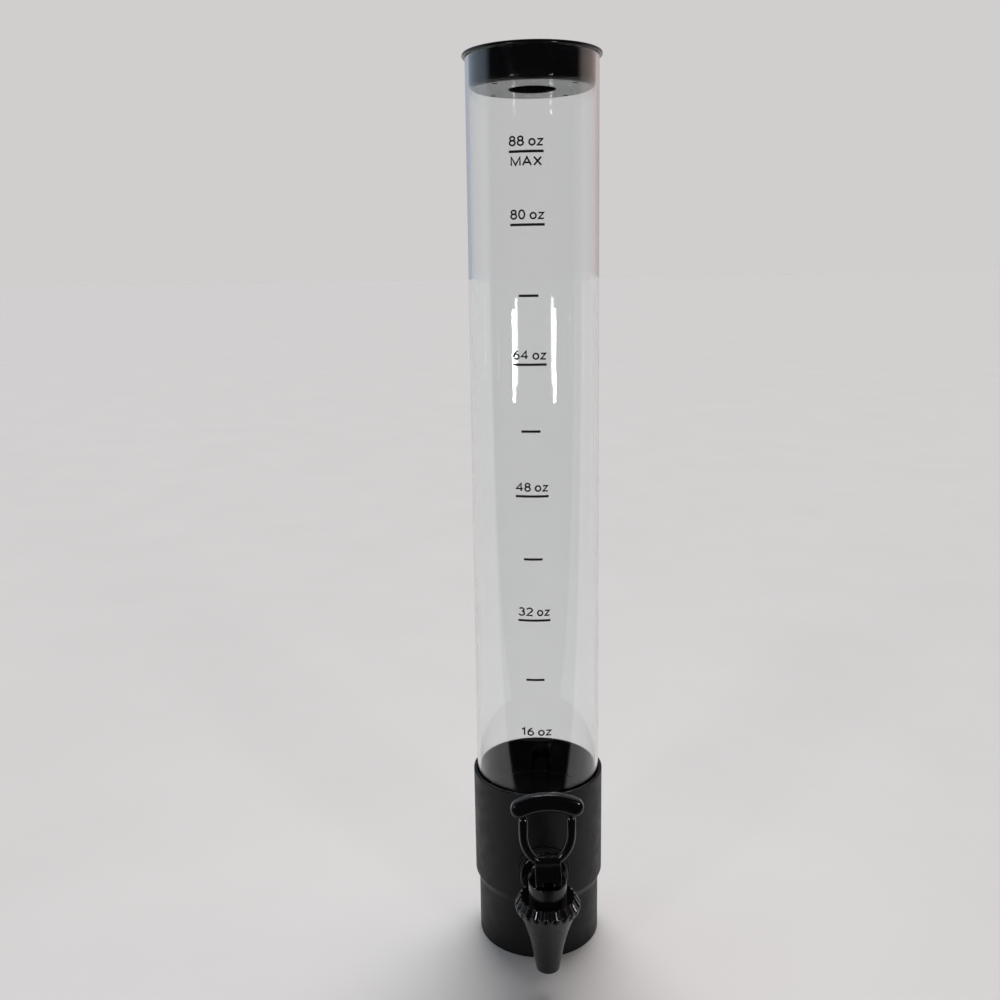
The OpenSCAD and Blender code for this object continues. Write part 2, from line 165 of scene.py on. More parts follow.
def grain(tree, surface, size, height, roughLow, roughHigh, stretch=(1, 1, 1), colours=None):
    # noise on Object coordinates drives a bump, and noise 14 times as coarse drives the roughness and, if two
    # colours are given, the colour; the grains' size and the bump's height are millimetres
    scale = 1 / (size * mm)
    place = addNode(tree, "ShaderNodeTexCoord").outputs["Object"]
    sized = addNode(tree, "ShaderNodeMapping", Vector=place, Scale=stretch).outputs[0]
    fine = addNode(tree, "ShaderNodeTexNoise", Vector=sized, Scale=scale, Detail=4.0, Roughness=0.6)
    broad = addNode(tree, "ShaderNodeTexNoise", Vector=sized, Scale=scale / 14, Detail=3.0)
    bump = addNode(tree, "ShaderNodeBump", Height=fine.outputs[0], Strength=0.5, Distance=height * mm)
    tree.links.new(bump.outputs[0], surface.inputs["Normal"])
    rough = addNode(tree, "ShaderNodeMapRange", Value=broad.outputs[0], i1=0.3, i2=0.7,
                    i3=roughLow, i4=roughHigh)
    tree.links.new(rough.outputs[0], surface.inputs["Roughness"])
    if colours:
        mix = addNode(tree, "ShaderNodeMix", {"data_type": "RGBA"}, i0=broad.outputs[0],
                      i6=hexColour(colours[0]), i7=hexColour(colours[1]))
        tree.links.new(mix.outputs[2], surface.inputs["Base Color"])


# ABS moulded against a spark-eroded tool: a dull sheen, its fine grain drawn 0.6 mm wide so that it shows
absMatt, tree, surface = newMaterial("absMattMoulded", "#0c0d0f", 0.48, IOR=1.53, Specular_IOR_Level=0.21)
grain(tree, surface, 0.625, 0.05, 0.4, 0.54, colours=("#0a0b0d", "#0f1012"))

# ABS moulded against a polished tool: mirror-like, with faint flow marks and handling smears
absGloss, tree, surface = newMaterial("absGlossMoulded", "#060607", 0.14, IOR=1.53, Specular_IOR_Level=0.38)
grain(tree, surface, 3.846, 0.012, 0.09, 0.2, colours=("#060607", "#0a0a0c"))

# ABS moulded against a polished core, for the inside of the base: glossy, with faint upright draw marks
absInner, tree, surface = newMaterial("absCorePolished", "#0a0a0b", 0.16, IOR=1.53, Specular_IOR_Level=0.12)
grain(tree, surface, 1.4286, 0.008, 0.1, 0.2, stretch=(1, 1, 0.1), colours=("#090909", "#0c0c0d"))

# ABS moulded against a fine-blasted tool: a soft satin, a shade lighter than the base, its grain 0.5 mm wide
absSatin, tree, surface = newMaterial("absSatinMoulded", "#1a1b1d", 0.28, IOR=1.53, Specular_IOR_Level=0.32)
grain(tree, surface, 0.4545, 0.007, 0.22, 0.34, colours=("#141517", "#1a1b1d"))

# Acrylic extruded as a tube: clear, with faint lines along its length every 3 mm or so
acrylicClear, tree, surface = newMaterial("acrylicExtruded", "#fafcfc", 0.015, IOR=1.49,
                                          Transmission_Weight=1.0)
grain(tree, surface, 3.03, 0.004, 0.0, 0.03, stretch=(1, 1, 0.02))

# Screen-printing ink cured on acrylic: black, dull, with a slightly uneven film
inkBlack, tree, surface = newMaterial("inkScreenPrinted", "#0c0c0d", 0.7, IOR=1.5, Specular_IOR_Level=0.2)
grain(tree, surface, 0.3333, 0.01, 0.6, 0.8, colours=("#0a0a0b", "#101011"))

# Nitrile rubber, compression moulded: black and dry-looking
rubberBlack, tree, surface = newMaterial("nitrileMoulded", "#1d1d1e", 0.72, IOR=1.52)
grain(tree, surface, 0.5556, 0.04, 0.62, 0.8, colours=("#19191a", "#232324"))

# Silicone, moulded: milky, with a soft bloom
siliconeMilky, tree, surface = newMaterial("siliconeMoulded", "#c9c9c3", 0.5, IOR=1.42, Subsurface_Weight=0.3)
grain(tree, surface, 0.8333, 0.03, 0.42, 0.6, colours=("#c2c2bb", "#d2d2cc"))

# Stainless spring wire and sheet, drawn: bright, with short upright streaks
steelDrawn, tree, surface = newMaterial("stainlessDrawn", "#b9bbbd", 0.28, Metallic=1.0)
grain(tree, surface, 0.6667, 0.01, 0.2, 0.38, stretch=(1, 1, 0.2), colours=("#aeb0b3", "#c6c8ca"))

# Painted board of the table: pale, dull, with a very slight mottle
boardPale, tree, surface = newMaterial("boardPainted", "#d9d7d5", 0.9, Specular_IOR_Level=0.05)
grain(tree, surface, 11.111, 0.02, 0.85, 0.95, colours=("#d6d4d2", "#dcdad8"))
# in front of the tower the board is left out of reflections, so that the tap and the tube mirror the dim room
board = {"mirroredFrom": -0.19, "clearTo": -0.22}
place = addNode(tree, "ShaderNodeTexCoord").outputs["Object"]
along = addNode(tree, "ShaderNodeSeparateXYZ", i0=place).outputs[1]
ahead = addNode(tree, "ShaderNodeMapRange", Value=along, i1=board["clearTo"], i2=board["mirroredFrom"],
                i3=1.0, i4=0.0)
bounces = addNode(tree, "ShaderNodeLightPath").outputs["Glossy Depth"]
mirrored = addNode(tree, "ShaderNodeMath", {"operation": "GREATER_THAN"}, i0=bounces, i1=0.5)
unseen = addNode(tree, "ShaderNodeMath", {"operation": "MULTIPLY"},
                 i0=ahead.outputs[0], i1=mirrored.outputs[0])
clear = addNode(tree, "ShaderNodeBsdfTransparent").outputs[0]
ended = addNode(tree, "ShaderNodeMixShader", i0=unseen.outputs[0], i1=surface.outputs[0], i2=clear)
output = next(node for node in tree.nodes if node.type == "OUTPUT_MATERIAL")
tree.links.new(ended.outputs[0], output.inputs[0])
print("materials made")


def roundedPath(corners, steps=6):
    # corners are (r, z, radius): each corner is replaced by an arc tangent to both of its sides, and a point
    # close to each end of the arc keeps the shading of the straight sides flat
    points = np.array([c[:2] for c in corners], float)
    radii = [c[2] for c in corners]
    path = []
    for i, point in enumerate(points):
        if radii[i] <= 0 or i in (0, len(points) - 1):
            path.append(point[None])
            continue
        into, out = points[i - 1] - point, points[i + 1] - point
        lenIn, lenOut = np.linalg.norm(into), np.linalg.norm(out)
        into, out = into / lenIn, out / lenOut
        half = np.arccos(np.clip(into @ out, -1, 1)) / 2
        back = min(radii[i] / np.tan(half), 0.49 * lenIn, 0.49 * lenOut)
        radius = back * np.tan(half)
        middle = point + (into + out) / np.linalg.norm(into + out) * radius / np.sin(half)
        first, last = point + into * back - middle, point + out * back - middle
        angle = np.arctan2(first[0] * last[1] - first[1] * last[0], first @ last)
        a = np.linspace(0, angle, steps + 1)
        bend = middle + np.stack([first[0] * np.cos(a) - first[1] * np.sin(a),
                                  first[0] * np.sin(a) + first[1] * np.cos(a)], 1)
        before, after = [back + min(0.25, 0.25 * length - 0.5 * back) for length in (lenIn, lenOut)]
        path.append(np.concatenate([[point + into * before], bend, [point + out * after]]))
    return np.concatenate(path)


def gridFaces(rows, columns, closeRows=False, closeColumns=True):
    # quads of a grid of points, numbered row by row
    i = np.arange(rows if closeRows else rows - 1)[:, None]
    j = np.arange(columns if closeColumns else columns - 1)[None, :]
    up, across = (i + 1) % rows, (j + 1) % columns
    quads = np.stack([i * columns + j, i * columns + across, up * columns + across, up * columns + j], -1)
    return quads.reshape(-1, 4)


def turned360(profile, columns=256, closed=False):
    # a profile (r, z) carried round Z: x = r cos a, y = r sin a; if closed, its last point joins its first
    a = np.linspace(0, 2 * pi, columns, endpoint=False)
    r, z = profile[:, :1], profile[:, 1:]
    points = np.stack([r * np.cos(a), r * np.sin(a), z + 0 * a], -1)
    return points.reshape(-1, 3), gridFaces(len(profile), columns, closeRows=closed)


def alongTap(part, height):
    # a turned part laid along the shank: its Z becomes -Y, at the shank's height
    points, faces = part
    return np.stack([points[:, 0], -points[:, 2], points[:, 1] + height], 1), faces


def moved(part, by):
    # a part shifted by (x, y, z)
    return part[0] + np.array(by, float), part[1]


def capped(widths):
    # closes a sweep: the first and last widths become zero
    widths = widths.copy()
    widths[[0, -1]] = 0
    return widths


weld = 0.0002  # points closer than this, in millimetres, become one


def addPiece(name, parts, material, body, replaced=(), sharp=38, outward=True, second=None, bend=None):
    # joins the parts, closes poles and seams, and makes one object at the origin; second is a material and
    # where it goes, and bend, if given, leaves the piece unattached with its place baked into the mesh, while
    # the bodies and points it holds are not used
    offsets = np.cumsum([0] + [len(p[0]) for p in parts[:-1]])
    points = np.concatenate([p[0] for p in parts]) * mm
    faces = np.concatenate([p[1] + o for p, o in zip(parts, offsets)])
    mesh = bpy.data.meshes.new(name)
    mesh.from_pydata(points.tolist(), [], faces.tolist())
    work = bmesh.new()
    work.from_mesh(mesh)
    bmesh.ops.remove_doubles(work, verts=work.verts, dist=weld * mm)
    if outward:
        bmesh.ops.recalc_face_normals(work, faces=work.faces)
    work.to_mesh(mesh)
    work.free()
    mesh.shade_smooth()
    mesh.set_sharp_from_angle(angle=radians(sharp))
    mesh.materials.append(material)
    if second:
        mesh.materials.append(second[0])
        centres = np.empty(len(mesh.polygons) * 3)
        mesh.polygons.foreach_get("center", centres)
        chosen = second[1](centres.reshape(-1, 3) / mm)
        mesh.polygons.foreach_set("material_index", chosen.astype(np.int32))
    piece = bpy.data.objects.new(name, mesh)
    bpy.context.scene.collection.objects.link(piece)
    if bend:
        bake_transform(piece)
    else:
        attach(piece, body)
    if replaced:
        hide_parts(*replaced)


tube = {"footR": 44.85, "topR": 43.3, "wall": 2.0, "footZ": 104.0, "topZ": 624.8, "edge": 0.4, "levels": 12,
        "columns": 320}


def tubeRadius(z):
    # the outside tapers in a straight line from foot to top
    share = (z - tube["footZ"]) / (tube["topZ"] - tube["footZ"])
    return tube["footR"] + (tube["topR"] - tube["footR"]) * share


wall, edge = tube["wall"], tube["edge"]
levels = np.linspace(tube["footZ"], tube["topZ"], tube["levels"])[1:-1]
low, high, between = levels[0], levels[-1], levels[1:-1]
footPath = roundedPath([(tubeRadius(low), low, 0), (tube["footR"], tube["footZ"], edge),
                        (tube["footR"] - wall, tube["footZ"], edge), (tubeRadius(low) - wall, low, 0)], 4)
topPath = roundedPath([(tubeRadius(high) - wall, high, 0), (tube["topR"] - wall, tube["topZ"], edge),
                       (tube["topR"], tube["topZ"], edge), (tubeRadius(high), high, 0)], 4)
inside = np.stack([tubeRadius(between) - wall, between], 1)
outside = np.stack([tubeRadius(between), between], 1)[::-1]
tubePath = np.concatenate([footPath, inside, topPath, outside])
addPiece("clearTube", [turned360(tubePath, tube["columns"], closed=True)], acrylicClear,
         "tower", ["tank_tube"])

# printed marks, one step for every 8 ounces; turns are degrees from the front, and the gaps between letters
# are shares of their height
marks = {"topZ": 562.95, "step": 43.77, "closing": 0.06, "sumpDrop": 1.8, "turnTop": -9.6, "turnFoot": -5.1,
         "count": 10, "topOunces": 88, "stepOunces": 8, "longW": 21.9, "shortW": 12.6, "line": 1.6,
         "lift": 0.03, "gap": 3.1, "under": 2.6, "stroke": 1.08, "textH": 6.2, "textW": 21.8, "maxH": 6.0,
         "maxW": 19.8, "letterGap": 0.24, "wordGap": 0.3}


def onTube(flat, turn):
    # wraps flat points (across, up) round the tube: across is an arc length, from a turn in degrees off -Y
    r = tubeRadius(flat[:, 1]) + marks["lift"]
    a = flat[:, 0] / r + radians(turn)
    return np.stack([r * np.sin(a), -r * np.cos(a), flat[:, 1]], 1)


def arc(x, y, rx, ry, start, end, count=18):
    # part of an ellipse: x + rx cos t, y + ry sin t
    t = np.radians(np.linspace(start, end, count))
    return np.stack([x + rx * np.cos(t), y + ry * np.sin(t)], 1)


def loopOf(x, y, rx, ry):
    # a closed stroke: the whole ellipse
    return arc(x, y, rx, ry, 0, 360, 33)[:-1], True


def strokeOf(*points):
    # an open stroke of straight lines from point to point
    return np.array(points, float), False


# each glyph: its width, then the middle lines of its strokes on a cap height of 1
glyphs = {
    "0": (0.52, [loopOf(0.26, 0.5, 0.26, 0.5)]),
    "1": (0.42, [strokeOf((0.04, 0.78), (0.3, 1), (0.3, 0))]),
    "2": (0.6, [strokeOf(*arc(0.29, 0.72, 0.28, 0.28, 165, -32), (0, 0), (0.6, 0))]),
    "3": (0.58, [strokeOf(*arc(0.27, 0.76, 0.25, 0.24, 155, -85)),
                 strokeOf(*arc(0.27, 0.27, 0.3, 0.27, 85, -160))]),
    "4": (0.64, [strokeOf((0.47, 0), (0.47, 1), (0, 0.3), (0.64, 0.3))]),
    "6": (0.52, [loopOf(0.26, 0.3, 0.26, 0.3), strokeOf(*arc(0.5, 0.3, 0.5, 0.7, 180, 100))]),
    "8": (0.52, [loopOf(0.26, 0.27, 0.26, 0.27), loopOf(0.26, 0.77, 0.22, 0.23)]),
    "o": (0.52, [loopOf(0.26, 0.34, 0.26, 0.34)]),
    "z": (0.48, [strokeOf((0, 0.68), (0.46, 0.68), (0, 0), (0.48, 0))]),
    "M": (0.76, [strokeOf((0, 0), (0, 1), (0.38, 0.05), (0.76, 1), (0.76, 0))]),
    "A": (0.72, [strokeOf((0, 0), (0.36, 1), (0.72, 0)), strokeOf((0.13, 0.34), (0.59, 0.34))]),
    "X": (0.62, [strokeOf((0, 0), (0.62, 1)), strokeOf((0, 1), (0.62, 0))])}


def ribbon(line, closed, width):
    # a band of even width along a line, with mitred corners
    ahead = np.roll(line, -1, 0) - line
    behind = np.roll(ahead, 1, 0)
    if not closed:
        ahead[-1], behind[0] = behind[-1], ahead[0]
    ahead /= np.linalg.norm(ahead, axis=1)[:, None]
    behind /= np.linalg.norm(behind, axis=1)[:, None]
    along = ahead + behind
    along /= np.linalg.norm(along, axis=1)[:, None] + 1e-9
    mitre = width / 2 / np.maximum((along * ahead).sum(1), 0.5)
    out = np.stack([-along[:, 1], along[:, 0]], 1) * mitre[:, None]
    return np.concatenate([line - out, line + out]), gridFaces(2, len(line), closeColumns=closed)


def printedWord(word, foot, turn, height, width):
    # lays the strokes out side by side, scales them to the word's size and wraps them round the tube
    pen, strokes = 0.0, []
    for letter in word:
        if letter == " ":
            pen += marks["wordGap"]
            continue
        strokes += [(line + (pen, 0), closed) for line, closed in glyphs[letter][1]]
        pen += glyphs[letter][0] + marks["letterGap"]
    thick = marks["stroke"]
    size = np.array([(width - thick) / (pen - marks["letterGap"]), height - thick])
    corner = (thick / 2 - width / 2, thick / 2 + foot)
    bands = [ribbon(line * size + corner, closed, thick) for line, closed in strokes]
    return [(onTube(flat, turn), faces) for flat, faces in bands]


def printedLine(width, z, turn):
    # a short bar of the mark's thickness, in 12 steps round the tube
    across = np.linspace(-width / 2, width / 2, 13)
    flat, faces = ribbon(np.stack([across, z + 0 * across], 1), False, marks["line"])
    return onTube(flat, turn), faces


inkParts = []
last = marks["count"] - 1
for count in range(marks["count"]):
    ounces = marks["topOunces"] - marks["stepOunces"] * count
    # the marks close up towards the foot, where the bore is wider, and the sump lowers the last one
    z = marks["topZ"] - marks["step"] * count + marks["closing"] * count ** 2
    z -= marks["sumpDrop"] * (count == last)
    turn = marks["turnTop"] + (marks["turnFoot"] - marks["turnTop"]) * count / last
    labelled = count == 0 or ounces % (2 * marks["stepOunces"]) == 0
    inkParts.append(printedLine(marks["longW"] if labelled else marks["shortW"], z, turn))
    if labelled:
        inkParts += printedWord(f"{ounces} oz", z + marks["gap"], turn, marks["textH"], marks["textW"])
    if count == 0:
        below = z - marks["under"] - marks["textH"]
        inkParts += printedWord("MAX", below, turn, marks["maxH"], marks["maxW"])
addPiece("printedMarks", inkParts, inkBlack, "tower", outward=False)
print("tube and marks made")

base = {"sleeveR": 44.75, "collarR": 47.45, "socketR": 45.15, "sumpR": 42.85, "cavityR": 42.45,
        "stepZ": 43.5, "stepH": 6.5, "rimZ": 131.0, "seatZ": 103.0, "floorZ": 57.5, "floorT": 2.5,
        "rise": 43.5, "flatY": 25.85, "notchW": 15.0, "notchH": 38.0, "padR": 18.8, "padY": 48.95,
        "landR": 14.4, "landY": 38.35, "boreR": 8.1, "padBack": 43.2, "shankZ": 73.0, "notchColumns": 12,
        "otherColumns": 243}


def floorHeight(y):
    # level by the tap, then a straight climb to the back
    climb = base["rise"] / (base["sumpR"] + base["flatY"])
    return base["floorZ"] + climb * np.maximum(y + base["flatY"], 0)


def baseGrid(path, follow, columns):
    # a profile (r, z) round Z, where rows marked in follow take the floor's height plus their own z
    r, z = path[:, :1], path[:, 1:]
    x, y = r * np.cos(columns), r * np.sin(columns)
    height = np.where(follow[:, None], floorHeight(y) + z, z + 0 * y)
    return np.stack([x, y, height], -1)


half = np.arcsin(base["notchW"] / 2 / base["sleeveR"])
front, notched = -pi / 2, base["notchColumns"]
columns = np.concatenate([np.linspace(front - half, front + half, notched + 1),
                          np.linspace(front + half, front - half + 2 * pi, base["otherColumns"] + 1)[1:-1]])
wallPath = np.concatenate([
    [[base["sleeveR"], 0.0], [base["sleeveR"], base["notchH"]]],
    roundedPath([(base["sleeveR"], base["notchH"], 0), (base["sleeveR"], base["stepZ"], 0.8),
                 (base["collarR"], base["stepZ"] + base["stepH"], 0.8), (base["collarR"], base["rimZ"], 0.45),
                 (base["socketR"], base["rimZ"], 0.45), (base["socketR"], base["seatZ"], 0.3),
                 (base["sumpR"], base["seatZ"], 0.3), (base["sumpR"], base["seatZ"] - 1.5, 0)])[1:]])
floorR = np.linspace(base["sumpR"], 0, 60)
underR = np.linspace(0, base["cavityR"], 50)
outerPath = np.concatenate([wallPath, np.stack([floorR, 0 * floorR], 1)])
underPath = np.concatenate([
    np.stack([underR, 0 * underR - base["floorT"]], 1),
    [[base["cavityR"], base["notchH"]], [base["cavityR"], 0], [base["sleeveR"], 0]]])
outer = baseGrid(outerPath, np.arange(len(outerPath)) >= len(wallPath), columns)
under = baseGrid(underPath, np.arange(len(underPath)) < len(underR), columns)
roofRow, footRow = len(underPath) - 3, len(underPath) - 2  # the notch's roof and foot, inside the wall


def withoutNotch(grid, lowRow, highRow):
    # drops the faces of the notch's columns between two rows
    faces = gridFaces(*grid.shape[:2]).reshape(-1, grid.shape[1], 4)
    keep = np.ones(faces.shape[:2], bool)
    keep[lowRow:highRow, :notched] = False
    return grid.reshape(-1, 3), faces[keep]


def patch(first, second):
    # a strip of quads between two equally long rows of points
    return np.concatenate([first, second]), gridFaces(2, len(first), closeColumns=False)


# the notch's roof, then its two sides
notchParts = [patch(outer[1, :notched + 1], under[roofRow, :notched + 1])]
notchParts += [patch(outer[[0, 1], c], under[[footRow, roofRow], c]) for c in (0, notched)]


def padPath(radius, face, edge):
    # a round pad for the shank's washers, from inside the wall to its face, with the shank's bore
    back, bore = base["padBack"], base["boreR"]
    return roundedPath([(radius, back, 0), (radius, face, edge), (bore, face, 0.2), (bore, back, 0)])


def insideBase(c):
    # the faces that the tube and the drink touch, which a polished core shapes
    return (np.hypot(c[:, 0], c[:, 1]) < base["socketR"] + 0.2) & (c[:, 2] > floorHeight(c[:, 1]) - 0.5)


pads = [alongTap(turned360(padPath(base["padR"], base["padY"], 0.6), 160), base["shankZ"]),
        alongTap(turned360(padPath(base["landR"], base["landY"], 0.4), 128), base["shankZ"])]
shell = [withoutNotch(outer, 0, 1), withoutNotch(under, roofRow, footRow + 1)]
addPiece("mouldedBase", shell + notchParts + pads, absMatt, "tower", ["base"], sharp=42,
         second=(absInner, insideBase))
print("base made")

lid = {"flangeR": 45.3, "flangeT": 2.2, "topZ": 627.0, "plugR": 41.1, "plugZ": 605.1, "wall": 1.8,
       "corner": 3.0, "holeR": 15.3, "sleeveH": 6.0, "ventR": 1.6, "ventRing": 35.1,
       "ventTurns": (45, 135, 225, 315)}
lidIn, lidFloor = lid["plugR"] - lid["wall"], lid["plugZ"] + lid["wall"]
flangeLow = lid["topZ"] - lid["flangeT"]
seamZ = lid["topZ"] - 4  # the profile starts and ends on the plug's inner wall
sleeveR, sleeveZ = lid["holeR"] + lid["wall"], lid["plugZ"] + lid["sleeveH"]
lidPath = roundedPath([
    (lidIn, seamZ, 0), (lidIn, lid["topZ"], 0.8), (lid["flangeR"], lid["topZ"], 0.9),
    (lid["flangeR"], flangeLow, 0.7), (lid["plugR"], flangeLow, 0.4),
    (lid["plugR"], lid["plugZ"], lid["corner"]), (lid["holeR"], lid["plugZ"], 0.7),
    (lid["holeR"], sleeveZ, 0.5), (sleeveR, sleeveZ, 0.5), (sleeveR, lidFloor, 0.8), (lidIn, lidFloor, 1.4),
    (lidIn, seamZ, 0)], 8)[:-1]
addPiece("pushInLid", [turned360(lidPath, 320, closed=True)], absGloss, "lid", ["lid"])

# each vent is drawn as a dark disc with a low rounded rim, just proud of the lid's floor above and below:
# painted shade in place of the through hole
ventShadePath = roundedPath([(0, 0.02, 0), (lid["ventR"] * 0.9, 0.02, 0.1), (lid["ventR"], 0.08, 0.05),
                        (lid["ventR"] + 0.5, -0.1, 0)], 3)
ventShadeParts = []
for turn in lid["ventTurns"]:
    x, y = lid["ventRing"] * np.cos(radians(turn)), lid["ventRing"] * np.sin(radians(turn))
    ventShadeParts.append(moved(turned360(ventShadePath, 32), (x, y, lidFloor)))
    ventShadeParts.append(moved(turned360(ventShadePath * (1, -1), 32), (x, y, lid["plugZ"])))
# the discs take the black rubber finish, as painted shade where the lid has through holes
addPiece("lidVentShadeDiscs", ventShadeParts, rubberBlack, "lid", outward=False)
print("lid made")

tap = {"reach": 83.0, "shankZ": 73.0, "shankR": 8.0, "shankEnd": 27.85, "waterR": 4.8, "clampR": 17.0,
       "clampY": 50.95, "clampT": 4.0, "neckR": 9.5, "neckEnd": 72.0, "boreEnd": 71.0, "chamberR": 13.0,
       "chamberIn": 10.0, "footZ": 60.0, "roofZ": 84.0, "topZ": 87.5, "stemR": 3.05}
at = (0, -tap["reach"], 0)
chamberPath = roundedPath([
    (tap["chamberIn"], tap["footZ"], 0), (tap["chamberR"], tap["footZ"], 0),
    (tap["chamberR"], tap["topZ"], 0.7), (tap["stemR"], tap["topZ"], 0.3), (tap["stemR"], tap["roofZ"], 0),
    (tap["chamberIn"], tap["roofZ"], 0), (tap["chamberIn"], tap["footZ"], 0)])
clampFace = tap["clampY"] + tap["clampT"]
pipePath = roundedPath([
    (tap["waterR"], tap["boreEnd"], 0), (tap["waterR"], tap["shankEnd"], 0.3),
    (tap["shankR"], tap["shankEnd"], 0.6), (tap["shankR"], tap["clampY"], 0),
    (tap["clampR"], tap["clampY"], 0.3), (tap["clampR"], clampFace, 0.9), (tap["neckR"], clampFace, 2.4),
    (tap["neckR"], tap["neckEnd"], 0), (tap["waterR"], tap["neckEnd"], 0)], 8)
chamber = moved(turned360(chamberPath, 192), at)
pipe = alongTap(turned360(pipePath, 192), tap["shankZ"])
addPiece("tapBody", [chamber, pipe], absGloss, "tower", ["tap_body"])

nozzle = {"crownTopR": 19.2, "crownFootR": 22.3, "crownZ": 76.0, "crownFoot": 71.0, "crownH": 1.2,
          "brim": 4.3, "brimStep": 0.35, "glossDrop": 2.2, "tipZ": 21.0, "tipR": 8.0, "lip": 0.6,
          "taper": 0.175, "flare": 0.0045, "flareFrom": 15.0, "mouthR": 6.4, "mouthH": 3.0, "bowlR": 7.8,
          "bowlZ": 51.0, "seatR": 5.8, "seatZ": 54.5, "socketR": 12.9, "socketZ": 57.0, "flutes": 24,
          "fluteW": 2.1, "fluteD": 1.1, "fluteFoot": 0.3, "fluteRise": 3.5, "fluteInR": 15.5, "fluteIn": 2.5,
          "columns": 480}


def coneRadius(z):
    # a straight taper, and a flare that grows with the square of the height
    h = z - nozzle["tipZ"]
    flared = np.maximum(h - nozzle["flareFrom"], 0)
    return nozzle["tipR"] + nozzle["taper"] * h + nozzle["flare"] * flared ** 2


neckZ, brimZ = nozzle["crownFoot"] - nozzle["brim"], nozzle["crownFoot"] - nozzle["crownH"]
crown = roundedPath([(nozzle["socketR"], nozzle["crownZ"], 0), (nozzle["crownTopR"], nozzle["crownZ"], 1.0),
                     (nozzle["crownFootR"], nozzle["crownFoot"], 1.4), (nozzle["crownFootR"], brimZ, 0)], 8)
# the brim is a quarter of an ellipse, from the crown's foot in to the cone
q = np.linspace(0, pi / 2, 10)[1:]
brimR = coneRadius(neckZ) + nozzle["brimStep"]
brim = np.stack([brimR + (nozzle["crownFootR"] - brimR) * np.cos(q),
                 brimZ - (nozzle["brim"] - nozzle["crownH"]) * np.sin(q)], 1)
lipZ = nozzle["tipZ"] + nozzle["lip"]
rise = np.linspace(neckZ, lipZ, 26)
cone = np.stack([coneRadius(rise), rise], 1)
mouth = roundedPath([
    (nozzle["tipR"] + 0.1, lipZ, 0), (nozzle["tipR"], nozzle["tipZ"], 0.5),
    (nozzle["mouthR"], nozzle["tipZ"], 0.4), (nozzle["mouthR"], nozzle["tipZ"] + nozzle["mouthH"], 0),
    (nozzle["bowlR"], nozzle["bowlZ"], 0), (nozzle["seatR"], nozzle["seatZ"], 0),
    (nozzle["seatR"], nozzle["socketZ"], 0), (nozzle["socketR"], nozzle["socketZ"], 0)])
nozzlePath = np.concatenate([crown, brim, cone, mouth[1:]])
points, faces = turned360(nozzlePath, nozzle["columns"])
grid = points.reshape(len(nozzlePath), nozzle["columns"], 3)
# each flute is a shallow parabola across the rim: full depth on the crown, fading out down the brim
angle = np.linspace(0, 2 * pi, nozzle["columns"], endpoint=False)
pitch = 2 * pi / nozzle["flutes"]
across = (np.mod(angle, pitch) - pitch / 2) * nozzle["crownFootR"] / nozzle["fluteW"]
groove = np.maximum(1 - across ** 2, 0) ** 0.8
radius, height = nozzlePath[:, 0], nozzlePath[:, 1]
upBrim = np.clip((height - neckZ - nozzle["fluteFoot"]) / nozzle["fluteRise"], 0, 1)
fade = upBrim ** 0.7 * np.clip((radius - nozzle["fluteInR"]) / nozzle["fluteIn"], 0, 1)
fade[len(crown) + len(brim):] = 0
shrink = 1 - nozzle["fluteD"] * fade[:, None] * groove[None] / radius[:, None]
grid[..., :2] *= shrink[..., None]


def crownTop(c):
    # the finger grip is moulded glossy, down to the start of the brim
    return c[:, 2] > nozzle["crownFoot"] - nozzle["glossDrop"]


addPiece("flutedNozzle", [moved((grid.reshape(-1, 3), faces), at)], absSatin,
         "tower", ["nozzle"], sharp=50, second=(absGloss, crownTop))
print("tap and nozzle made")

# lever: heights are from the pin, and the cam lifts the pin evenly while the lever turns
lever = {"pinZ": 93.65, "height": 58.4, "thick": 6.5, "loopW": 38.4, "loopFoot": 7.6, "armW": 6.2,
         "armThin": 1.1, "plateW": 49.0, "plateH": 12.6, "plateExtra": 1.6, "arch": 50.0, "forkW": 17.4,
         "neckTop": 13.0, "eyeW": 6.4, "eyeTop": 5.4, "eyeClear": 1.75, "cheekTop": 10.0, "cheekHalf": 3.25,
         "cheekEase": 0.7, "cheekReach": 9.0, "webOut": -11.2, "webFoot": -0.5, "sole": 6.0, "turn": 40.0,
         "lift": 4.0}


def squircle(count, power):
    # a rounded square: x = sign(cos) |cos|^(2/p), y the same with sin
    t = np.linspace(0, 2 * pi, count, endpoint=False)
    return [np.sign(wave) * np.abs(wave) ** (2 / power) for wave in (np.cos(t), np.sin(t))]


def swept(path, normals, widths, thicks, power, count=40):
    # a rounded-square section carried along a path in the front plane, with widths and thicknesses along it
    cx, cy = squircle(count, power)
    flat = path[:, None, :] + normals[:, None, :] * (cx[None, :, None] * widths[:, None, None] / 2)
    depth = cy[None, :] * thicks[:, None] / 2
    points = np.stack([flat[..., 0], depth, flat[..., 1]], -1)
    return points.reshape(-1, 3), gridFaces(len(path), count)


# thumb plate: the section runs along an arch, and both ends are rounded off like a coin's edge
midR = lever["arch"] - lever["plateH"] / 2
endR = lever["plateH"] / 2
spread = np.arcsin((lever["plateW"] / 2 - endR) / midR)
reach = spread * midR + endR
s = reach * np.sin(np.linspace(-pi / 2, pi / 2, 91))
over = np.clip((np.abs(s) - (reach - endR)) / endR, 0, 1)
roundOff = np.sqrt(np.maximum(1 - over ** 2, 0))
bent = np.clip(s, -spread * midR, spread * midR) / midR
straight = s - bent * midR
archZ = lever["height"] - lever["arch"]
path = np.stack([midR * np.sin(bent) + straight * np.cos(bent),
                 archZ + midR * np.cos(bent) - straight * np.sin(bent)], 1)
normals = np.stack([np.sin(bent), np.cos(bent)], 1)
plateThick = (lever["thick"] + lever["plateExtra"]) * roundOff ** 0.45
plate = swept(path, normals, capped(lever["plateH"] * roundOff), capped(plateThick), 3.4)

